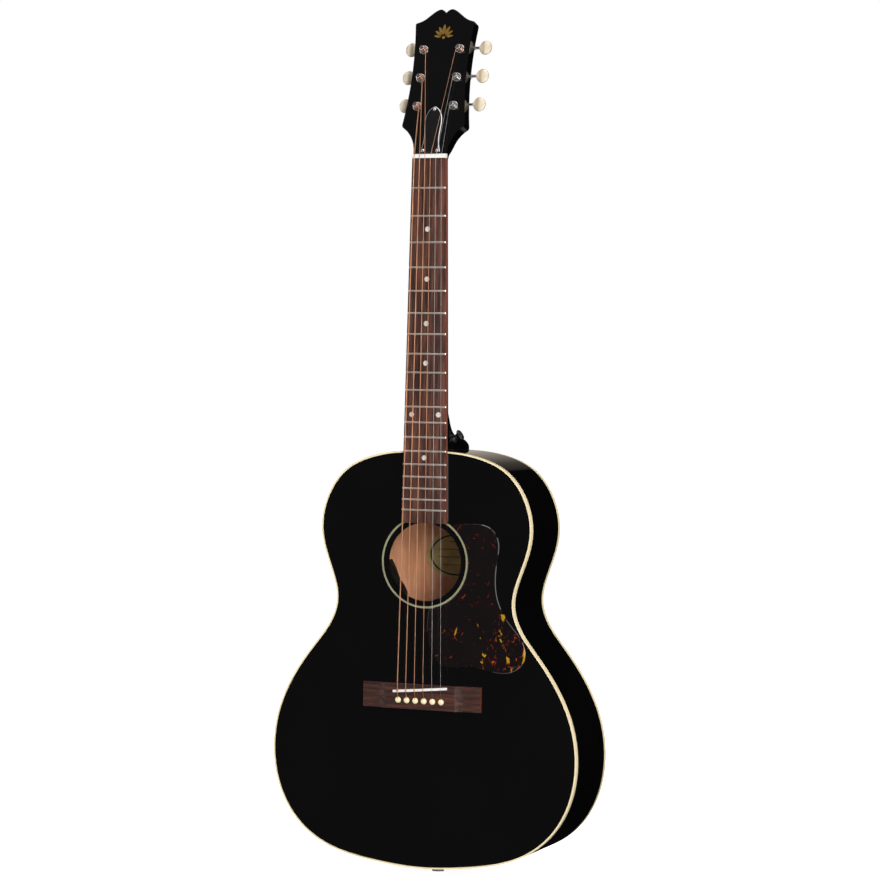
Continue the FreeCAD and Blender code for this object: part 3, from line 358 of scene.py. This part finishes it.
def cover_plies():
    """Black plastic with a white ply that its bevelled edge lays bare."""
    p = Paint("cover_plies", Roughness=0.2)
    post = Vector(JOINTS["post_1_turn"]["pos_m"])
    depth = p.math("SUBTRACT", along(p, HEAD_BACK), HEAD_BACK.dot(post))
    low, high = WHITE_PLY
    below_top = p.band(depth, -high - PLY_BLUR, -high + PLY_BLUR)
    above_bottom = p.band(depth, -low + PLY_BLUR, -low - PLY_BLUR)
    foot = HEAD_UP.dot(post) - COVER_FOOT
    past_foot = p.band(along(p, HEAD_UP), foot - FOOT_BLUR, foot + FOOT_BLUR)
    white = p.math("MULTIPLY", p.math("MULTIPLY", below_top, above_bottom), past_foot)
    cloud = p.noise(p.at(), 300, 3)
    black = p.ramp(cloud, (0.3, (0.005, 0.005, 0.005)), (0.7, (0.009, 0.009, 0.009)))
    p.colour(p.mix(white, black, (0.80, 0.80, 0.86)))
    return p.bump(p.noise(p.at(), 900, 2), 0.000005, 0.3).material


def pearl():
    """Pearl plastic dots: cloudy swirls with a slight sheen."""
    p = Paint("pearl", Roughness=0.22, Coat_Weight=0.5, Sheen_Weight=0.1)
    swirl = p.noise(p.at(), 380, 4, 0.6, 3.0)
    colour = p.ramp(swirl, (0.3, (0.42, 0.40, 0.37)), (0.55, (0.72, 0.70, 0.64)), (0.8, (0.86, 0.85, 0.82)))
    return p.colour(colour).bump(swirl, 0.00004, 0.3).material


# ---- metals ----
def metal(name, low, high, gloss, lay=(1, 1, 1), depth=0.00002):
    """Plated or polished metal with fine marks along its lay and patchy tarnish."""
    p = Paint(name, Metallic=1.0)
    tarnish = p.noise(p.at(), 160, 4, 0.6, 0.8)
    marks = p.noise(p.at(lay), 1600, 4, 0.7)
    p.colour(p.ramp(tarnish, (0.3, low), (0.7, high)))
    p.rough(p.mix(p.math("MULTIPLY", tarnish, 0.6), p.ramp(marks, (0.3, gloss), (0.7, gloss + 0.1)),
                  (gloss + 0.12,) * 3))
    return p.bump(marks, depth, 0.35).material


BRONZE = ((0.62, 0.29, 0.15), (0.83, 0.44, 0.26))
PLAIN = ((0.50, 0.48, 0.45), (0.72, 0.71, 0.68))
WRAP_PITCH = 0.42 * MM
PLAIN_FROM = 6.2 * MM                    # the plain strings lie further to the treble side than this
PLAIN_SPREAD = 0.12                      # how that place shifts with height above the nut


def string_paint():
    """Bronze winding on the four bass strings and bare steel on the two treble ones, told apart by place."""
    p = Paint("string_metal", Metallic=1.0, Roughness=0.3)
    headwards = p.math("MAXIMUM", p.axis("Z"), 0.0)
    dividing = p.math("ADD", p.math("MULTIPLY", headwards, PLAIN_SPREAD), PLAIN_FROM)
    plain = p.band(p.math("SUBTRACT", p.axis("X"), dividing), -0.2 * MM, 0.2 * MM)
    wear = p.noise(p.at((1, 1, 0.2)), 260, 4, 0.6)
    bronze = p.ramp(wear, (0.3, BRONZE[0]), (0.7, BRONZE[1]))
    steel = p.ramp(wear, (0.3, PLAIN[0]), (0.7, PLAIN[1]))
    wraps = p.wave(p.at(), 1 / (WRAP_PITCH * 20), 0, 1, "Z")
    wraps = p.math("MULTIPLY", wraps, p.math("SUBTRACT", 1.0, plain))
    p.colour(p.mix(plain, bronze, steel))
    return p.bump(wraps, 0.0001, 0.6).material


def coil_metal(name, tones):
    """The turns round a post: winding wire seen close up, or bare steel."""
    p = Paint(name, Metallic=1.0, Roughness=0.26)
    wear = p.noise(p.at(), 500, 4, 0.6)
    wraps = p.noise(p.at((1, 0.25, 1)), 2600, 2, 0.5)
    p.colour(p.ramp(wear, (0.3, tones[0]), (0.7, tones[1])))
    return p.bump(wraps, 0.00008, 0.5).material


# ---- mesh helpers ----
def piece(name, mesh_data, body, material):
    """A finished object in the part's frame, riding on a body."""
    mesh = bpy.data.meshes.new(name)
    mesh_data.to_mesh(mesh)
    mesh_data.free()
    for face in mesh.polygons:
        face.use_smooth = True
    made = bpy.data.objects.new(name, mesh)
    bpy.context.scene.collection.objects.link(made)
    made.data.materials.append(material)
    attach(made, body)
    return made


def tube(points, radius, sides=10):
    """A closed round tube along points, with no twist."""
    bm = bmesh.new()
    rings, across = [], None
    for i, point in enumerate(points):
        ahead = points[min(i + 1, len(points) - 1)] - points[max(i - 1, 0)]
        ahead.normalize()
        if across is None:
            across = ahead.orthogonal().normalized()
        across = (across - ahead * across.dot(ahead)).normalized()
        over = ahead.cross(across)
        ring = []
        for k in range(sides):
            turn = 2 * math.pi * k / sides
            ring.append(bm.verts.new(point + (across * math.cos(turn) + over * math.sin(turn)) * radius))
        rings.append(ring)
    for low, high in zip(rings, rings[1:]):
        for k in range(sides):
            bm.faces.new((low[k], low[(k + 1) % sides], high[(k + 1) % sides], high[k]))
    bm.faces.new(list(reversed(rings[0])))
    bm.faces.new(rings[-1])
    return bm


def lathe(profile, centre, way, sides=48):
    """A closed profile of (radius, height) points turned round an axis."""
    bm = bmesh.new()
    turn = Vector((0, 0, 1)).rotation_difference(way)
    rings = []
    for k in range(sides):
        angle = 2 * math.pi * k / sides
        spin = turn @ Quaternion((0, 0, 1), angle)
        rings.append([bm.verts.new(centre + spin @ Vector((r, 0, h))) for r, h in profile])
    for a, b in zip(rings, rings[1:] + rings[:1]):
        for i in range(len(profile)):
            j = (i + 1) % len(profile)
            bm.faces.new((a[i], a[j], b[j], b[i]))
    bmesh.ops.recalc_face_normals(bm, faces=bm.faces)
    return bm


# ---- the small pieces that the CAD leaves plain ----
POST_WAIST = 2.55 * MM
POST_HOLE = 5.0 * MM                     # the height of the string's hole above the headstock's face
TURNS = {1: 2.2, 2: 2.6, 3: 3.0, 4: 3.4, 5: 4.2, 6: 4.6}
TURN_STEPS = 36
COIL_MIDDLE = 4.4 * MM
COIL_PITCH = 2.08                        # in radii of the string, so that the turns nearly touch
TAIL = (0.25, 0.6, 1.0, 1.7, 2.3)        # the tail's points, in distances from the last turn to the axis


def string_coil(i, material):
    """The turns of one string round its post, ending in a tail through the post's hole."""
    foot, out = Vector(JOINTS[f"post_{i}_turn"]["pos_m"]), -HEAD_BACK
    radius = STRING_R[i]
    reach = POST_WAIST + radius
    hand = 1 if i in BASS_SIDE else -1
    pitch = COIL_PITCH * radius
    steps = int(TURNS[i] * TURN_STEPS)
    first = COIL_MIDDLE - pitch * TURNS[i] / 2
    points = []
    for step in range(steps + 1):
        angle = hand * 2 * math.pi * TURNS[i] * step / steps
        high = first + pitch * TURNS[i] * step / steps
        across = Vector((hand, 0, 0)) * math.cos(angle) + HEAD_UP * math.sin(angle)
        points.append(foot + out * high + across * reach)
    inward = (foot + out * POST_HOLE) - points[-1]
    points += [points[-1] + inward * share for share in TAIL]
    sides = 10 if i in WOUND else 8
    piece(f"string_coil_{i}", tube(points, radius, sides), f"post_{i}", material)


NUT_HALF = 21.5 * MM
# The ridge's section in millimetres: outwards from the fingerboard's edge, and out from the soundboard
RIDGE = [(0.02, 0.0), (0.02, -0.85), (0.30, -0.62), (0.62, -0.30), (0.85, 0.0)]
RIDGE_STEPS = 24
RIDGE_START = 0.4 * MM                   # how far short of the soundboard's edge the ridge starts


def lacquer_fillets(material):
    """The thin ridge of lacquer along each side of the fingerboard where it lies on the soundboard."""
    low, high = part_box("fingerboard")
    top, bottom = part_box("soundboard")[1].z, low.z
    slope = (high.x - NUT_HALF) / -low.z
    for side, name in ((-1, "bass"), (1, "treble")):
        bm = bmesh.new()
        rings = []
        for step in range(RIDGE_STEPS + 1):
            z = top + (bottom - top) * step / RIDGE_STEPS
            if step == 0:
                z -= RIDGE_START
            edge = NUT_HALF - slope * z
            rings.append([bm.verts.new((side * (edge + x * MM), y * MM, z)) for x, y in RIDGE])
        for a, b in zip(rings, rings[1:]):
            for i in range(len(RIDGE)):
                j = (i + 1) % len(RIDGE)
                bm.faces.new((a[i], a[j], b[j], b[i]))
        bm.faces.new(rings[0])
        bm.faces.new(list(reversed(rings[-1])))
        bmesh.ops.recalc_face_normals(bm, faces=bm.faces)
        piece(f"lacquer_fillet_{name}", bm, "guitar", material)


# Knobs, in millimetres
KNOB_AT = 48.0                           # from the guitar's centre line
KNOB_HALF = (7.7, 8.75)                  # half width along the shaft, half length up the headstock
KNOB_SIDES = 56
# One face of the knob, from its middle to the rim: (share of the oval's radius, half thickness)
DOME = [(0.0, 3.1), (0.35, 3.05), (0.62, 2.9), (0.80, 2.6), (0.91, 2.1), (0.98, 1.3), (1.0, 0.5)]
# The collar's section: (radius, distance from the guitar's centre line)
COLLAR = [(1.8, 39.9), (2.0, 39.9), (2.15, 40.2), (2.3, 41.0), (2.8, 42.4), (1.8, 42.4)]


def domed_oval(middle, out):
    """An oval with two domed faces, in the plane of the direction out and the headstock's length."""
    bm = bmesh.new()
    shape = DOME + [(share, -half) for share, half in reversed(DOME)]
    rings = []
    for share, half in shape[1:-1]:
        ring = []
        for k in range(KNOB_SIDES):
            angle = 2 * math.pi * k / KNOB_SIDES
            wide, tall = KNOB_HALF[0] * math.cos(angle), KNOB_HALF[1] * math.sin(angle)
            place = middle + (out * wide * share + HEAD_UP * tall * share - HEAD_BACK * half) * MM
            ring.append(bm.verts.new(place))
        rings.append(ring)
    for a, b in zip(rings, rings[1:]):
        for k in range(KNOB_SIDES):
            j = (k + 1) % KNOB_SIDES
            bm.faces.new((a[k], a[j], b[j], b[k]))
    for ring, half in ((rings[0], shape[0][1]), (rings[-1], shape[-1][1])):
        tip = bm.verts.new(middle - HEAD_BACK * half * MM)
        for k in range(KNOB_SIDES):
            bm.faces.new((ring[k], ring[(k + 1) % KNOB_SIDES], tip))
    bmesh.ops.recalc_face_normals(bm, faces=bm.faces)
    return bm


def tuner_knob(i, material):
    """An oval knob with domed faces and a short collar, standing for the plain one."""
    centre = Vector(JOINTS[f"tuner_{i}_turn"]["pos_m"])
    out = Vector((-1 if i in BASS_SIDE else 1, 0, 0))
    middle = Vector((out.x * KNOB_AT * MM, centre.y, centre.z))
    knob = piece(f"tuner_knob_{i}", domed_oval(middle, out), f"tuner_shaft_{i}", material)
    start = Vector((0, centre.y, centre.z))
    collar = lathe([(r * MM, h * MM) for r, h in COLLAR], start, out, 40)
    piece(f"tuner_collar_{i}", collar, f"tuner_shaft_{i}", material)
    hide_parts(f"tuner_button_{i}")


# ---- putting materials on the CAD nodes ----
def dress(materials):
    """Gives every CAD node the material of its finish."""
    for item in frame["record"]["subparts"]:
        node = NODES[item["node"]]
        paint = materials.get(item["node"]) or materials[item["material_slot"]]
        if not node.material_slots:
            node.data.materials.append(None)
        for slot in node.material_slots:
            slot.link = "OBJECT"
            slot.material = paint


def all_materials():
    lengthways, sideways = (9, 9, 0.55), (0.55, 9, 9)
    black = lacquer()
    return {
        "black_lacquer": black,
        "soundboard": two_faced("soundboard_finish", faces_back, *SPRUCE, (9, 9, 0.6)),
        "back_plate": two_faced("back_finish", faces_front, *MAHOGANY, (7, 7, 0.5)),
        "sides": two_faced("rib_finish", faces_inwards, *MAHOGANY, (3, 7, 3)),
        "cream_binding": cream("cream_binding", (0.80, 0.66, 0.40), (0.88, 0.76, 0.50)),
        "ring_cream": cream("ring_cream", (0.24, 0.23, 0.14), (0.32, 0.31, 0.19), 0.12),
        "rosewood": rosewood("rosewood", lengthways, (0.030, 0.013, 0.010), (0.088, 0.035, 0.025),
                             (0.19, 0.07, 0.045)),
        "bridge": rosewood("bridge_rosewood", sideways, (0.024, 0.011, 0.009), (0.050, 0.021, 0.017),
                           (0.13, 0.038, 0.019)),
        "spruce": spruce(),
        "mahogany": mahogany(),
        "bone": cream("bone", (0.78, 0.76, 0.72), (0.88, 0.87, 0.84)),
        "pin_ivory": cream("pin_ivory", (0.96, 0.76, 0.44), (0.98, 0.86, 0.60)),
        "truss_cover": cover_plies(),
        "tortoise": tortoise(),
        "nickel": metal("nickel", (0.55, 0.52, 0.48), (0.80, 0.78, 0.75), 0.10),
        "fret_metal": metal("fret_metal", (0.62, 0.58, 0.48), (0.82, 0.80, 0.72), 0.22, (0.1, 1, 1)),
        "string_metal": string_paint(),
        "pearl": pearl(),
        "gold": metal("gold_inlay", (0.30, 0.17, 0.03), (0.48, 0.30, 0.07), 0.34),
        "paper": paper(),
        "black_plastic": black_plastic("black_plastic", 0.22, 0.00004),
        "black_gloss": black_plastic("black_gloss", 0.09, 0.000003),
        "button_ivory": button_ivory(),
        "brass": metal("brass", (0.45, 0.29, 0.09), (0.72, 0.52, 0.22), 0.24),
        "steel": metal("steel", (0.25, 0.24, 0.23), (0.48, 0.47, 0.46), 0.30),
        "bronze_coil": coil_metal("bronze_coil", BRONZE),
        "steel_coil": coil_metal("steel_coil", PLAIN),
    }


# ---- floor, light and camera ----
FLOOR_RADIUS = 14.0
FLOOR_GAP = 0.0015                       # keeps the floor clear of the tail
FLOOR_GLOW = 0.9


def pale_floor():
    """A wide plain disc just under the guitar; it lights nothing and shows in no reflection."""
    bm = bmesh.new()
    bmesh.ops.create_circle(bm, cap_ends=True, segments=128, radius=FLOOR_RADIUS)
    mesh = bpy.data.meshes.new("floor")
    bm.to_mesh(mesh)
    bm.free()
    floor = bpy.data.objects.new("floor", mesh)
    bpy.context.scene.collection.objects.link(floor)
    floor.location = (0, 0, CAD_LOW.z - FLOOR_GAP)
    p = Paint("floor_paint", Roughness=0.9, Specular_IOR_Level=0.0)
    p.colour(p.ramp(p.noise(p.at(), 3, 3), (0.3, (0.80, 0.80, 0.80)), (0.7, (0.83, 0.83, 0.83))))
    p.shader.inputs["Emission Color"].default_value = (1, 1, 1, 1)
    p.shader.inputs["Emission Strength"].default_value = FLOOR_GLOW
    floor.data.materials.append(p.material)
    floor.visible_glossy = False
    floor.visible_diffuse = False


FILL = 0.35                              # even light from all round on matt surfaces
# What polished surfaces mirror at each height of the direction, from straight down to straight up
SKY = ((-1.0, 1.0), (-0.74, 0.8), (-0.60, 0.004), (0.62, 0.004), (0.70, 1.6), (0.84, 1.6), (0.90, 0.3))
SKY_TINT = (1.0, 0.95, 1.0)
FRONT = ((-0.3, 0.085), (0.3, 0.0))      # what is added in front of the guitar, by depth of the direction
# A warm glow low behind the bass side, by width of the direction, that fades out past the upper bout
GLOW = ((-0.66, 0.3), (-0.50, 1.1), (-0.42, 0.75), (-0.34, 0.45), (-0.21, 0.13), (-0.08, 0.05), (-0.07, 0.0))
GLOW_TINT = (1.0, 0.88, 0.74)
# Where the glow fades in, as (part of the direction, nothing here, all of it here)
GLOW_LIMITS = (("Z", 0.03, 0.06), ("Z", 0.42, 0.34), ("Y", 0.0, 0.1))


def world_ramp(tree, source, steps, tint):
    """A tinted brightness for each value of one part of the direction, which runs from -1 to 1."""
    spread = tree.nodes.new("ShaderNodeMapRange")
    spread.inputs[1].default_value = -1.0
    tree.links.new(source, spread.inputs[0])
    ramp = tree.nodes.new("ShaderNodeValToRGB")
    tree.links.new(spread.outputs[0], ramp.inputs[0])
    elements = ramp.color_ramp.elements
    while len(elements) < len(steps):
        elements.new(0.5)
    for element, (part, value) in zip(elements, steps):
        element.position = (part + 1) / 2
        element.color = tuple(share * value for share in tint) + (1,)
    return ramp.outputs[0]


def world_maths(tree, operation, first, second):
    """Adds two colours, or scales a colour by a number."""
    node = tree.nodes.new("ShaderNodeVectorMath")
    node.operation = operation
    tree.links.new(first, node.inputs[0])
    tree.links.new(second, node.inputs["Scale" if operation == "SCALE" else 1])
    return node.outputs[0]


def mirrored_sky(tree):
    """What polished surfaces mirror: a dim sky, a lighter front and a warm glow."""
    place = tree.nodes.new("ShaderNodeTexCoord")
    split = tree.nodes.new("ShaderNodeSeparateXYZ")
    tree.links.new(place.outputs["Generated"], split.inputs[0])
    glow = world_ramp(tree, split.outputs["X"], GLOW, GLOW_TINT)
    for output, low, high in GLOW_LIMITS:
        limit = tree.nodes.new("ShaderNodeMapRange")
        tree.links.new(split.outputs[output], limit.inputs[0])
        limit.inputs[1].default_value = low
        limit.inputs[2].default_value = high
        glow = world_maths(tree, "SCALE", glow, limit.outputs[0])
    sky = world_ramp(tree, split.outputs["Z"], SKY, SKY_TINT)
    sky = world_maths(tree, "ADD", sky, world_ramp(tree, split.outputs["Y"], FRONT, SKY_TINT))
    return world_maths(tree, "ADD", sky, glow)


def room():
    """White where the camera looks past the guitar, even fill light, and a dim sky for reflections."""
    world = bpy.data.worlds.new("room")
    bpy.context.scene.world = world
    world.use_nodes = True
    tree = world.node_tree
    tree.nodes.clear()
    ray = tree.nodes.new("ShaderNodeLightPath")
    sky = mirrored_sky(tree)
    lights = []
    for colour, strength in (((1, 1, 1, 1), FILL), ((1, 1, 1, 1), 1.0), (None, 1.0)):
        background = tree.nodes.new("ShaderNodeBackground")
        background.inputs[1].default_value = strength
        if colour:
            background.inputs[0].default_value = colour
        else:
            tree.links.new(sky, background.inputs[0])
        lights.append(background.outputs[0])
    fill, seen, mirrored = lights
    for share, other in (("Is Camera Ray", seen), ("Is Glossy Ray", mirrored)):
        mixer = tree.nodes.new("ShaderNodeMixShader")
        tree.links.new(ray.outputs[share], mixer.inputs[0])
        tree.links.new(fill, mixer.inputs[1])
        tree.links.new(other, mixer.inputs[2])
        fill = mixer.outputs[0]
    output = tree.nodes.new("ShaderNodeOutputWorld")
    tree.links.new(fill, output.inputs[0])


WHITE, WARM = (1.0, 1.0, 1.0), (1.0, 0.985, 0.96)
BOTH, LIGHT_ONLY, MIRROR_ONLY = (True, True), (True, False), (False, True)
# Softboxes aimed at the guitar's middle: name, bearing, lift, distance, size, power, tint, what they do.
# The bearing runs from straight in front of the guitar round by the treble side, in degrees.
SOFTBOXES = (
    ("key", 38, 4, 2.6, (0.7, 1.9), 70, WARM, LIGHT_ONLY),
    ("key_mirror", 36, 4, 2.6, (1.0, 1.9), 22, WHITE, MIRROR_ONLY),
    ("fill_left", -66, 12, 2.6, (1.2, 2.2), 18, WHITE, BOTH),
    ("treble_strip", 68, 4, 2.4, (0.5, 1.7), 7, WHITE, BOTH),
    ("fret_end_strip", 92, 2, 2.4, (0.5, 1.7), 14, WHITE, MIRROR_ONLY),
    ("bass_strip", -100, 8, 2.4, (0.5, 1.7), 12, WHITE, BOTH),
    ("overhead", 20, 80, 2.2, (1.0, 1.0), 9, WHITE, BOTH),
    ("back_panel", 122, 24, 3.2, (1.1, 1.6), 22, WHITE, BOTH),
    ("back_sheen", 132, -14, 2.6, (0.9, 0.9), 1.0, WHITE, MIRROR_ONLY),
)


def softbox(name, bearing, lift, distance, size, power, tint, use):
    """An area light that the camera doesn't see."""
    light = bpy.data.lights.new(name, "AREA")
    light.shape = "RECTANGLE"
    light.size, light.size_y = size
    light.energy = power
    light.color = tint
    lamp = bpy.data.objects.new(name, light)
    bpy.context.scene.collection.objects.link(lamp)
    a, e = math.radians(bearing), math.radians(lift)
    out = Vector((math.sin(a) * math.cos(e), -math.cos(a) * math.cos(e), math.sin(e)))
    lamp.location = (CAD_LOW + CAD_HIGH) / 2 + out * distance
    lamp.rotation_mode = "QUATERNION"
    lamp.rotation_quaternion = out.to_track_quat("Z", "Y")
    lamp.visible_camera = False
    lamp.visible_diffuse, lamp.visible_glossy = use


def lighting():
    room()
    for settings in SOFTBOXES:
        softbox(*settings)


def camera():
    ahead = Vector((-math.sin(CAMERA_YAW) * math.cos(CAMERA_DIP),
                    math.cos(CAMERA_YAW) * math.cos(CAMERA_DIP), -math.sin(CAMERA_DIP)))
    right = Vector((math.cos(CAMERA_YAW), math.sin(CAMERA_YAW), 0))
    up = right.cross(ahead)
    level = Matrix((right, up, -ahead)).transposed()
    data = bpy.data.cameras.new("camera")
    data.sensor_width = 36.0
    data.lens = CAMERA_LENS
    data.clip_start, data.clip_end = 0.05, 60.0
    eye = bpy.data.objects.new("camera", data)
    bpy.context.scene.collection.objects.link(eye)
    eye.rotation_mode = "QUATERNION"
    eye.rotation_quaternion = (level @ Matrix.Rotation(CAMERA_ROLL, 3, "Z")).to_quaternion()
    eye.location = CAMERA_AT
    bpy.context.scene.camera = eye


def main():
    materials = all_materials()
    dress(materials)
    for i in SETS:
        string_coil(i, materials["bronze_coil" if i in WOUND else "steel_coil"])
        tuner_knob(i, materials["button_ivory"])
    lacquer_fillets(materials["black_lacquer"])
    pale_floor()
    lighting()
    camera()
    bpy.context.scene.view_settings.view_transform = "Standard"


main()
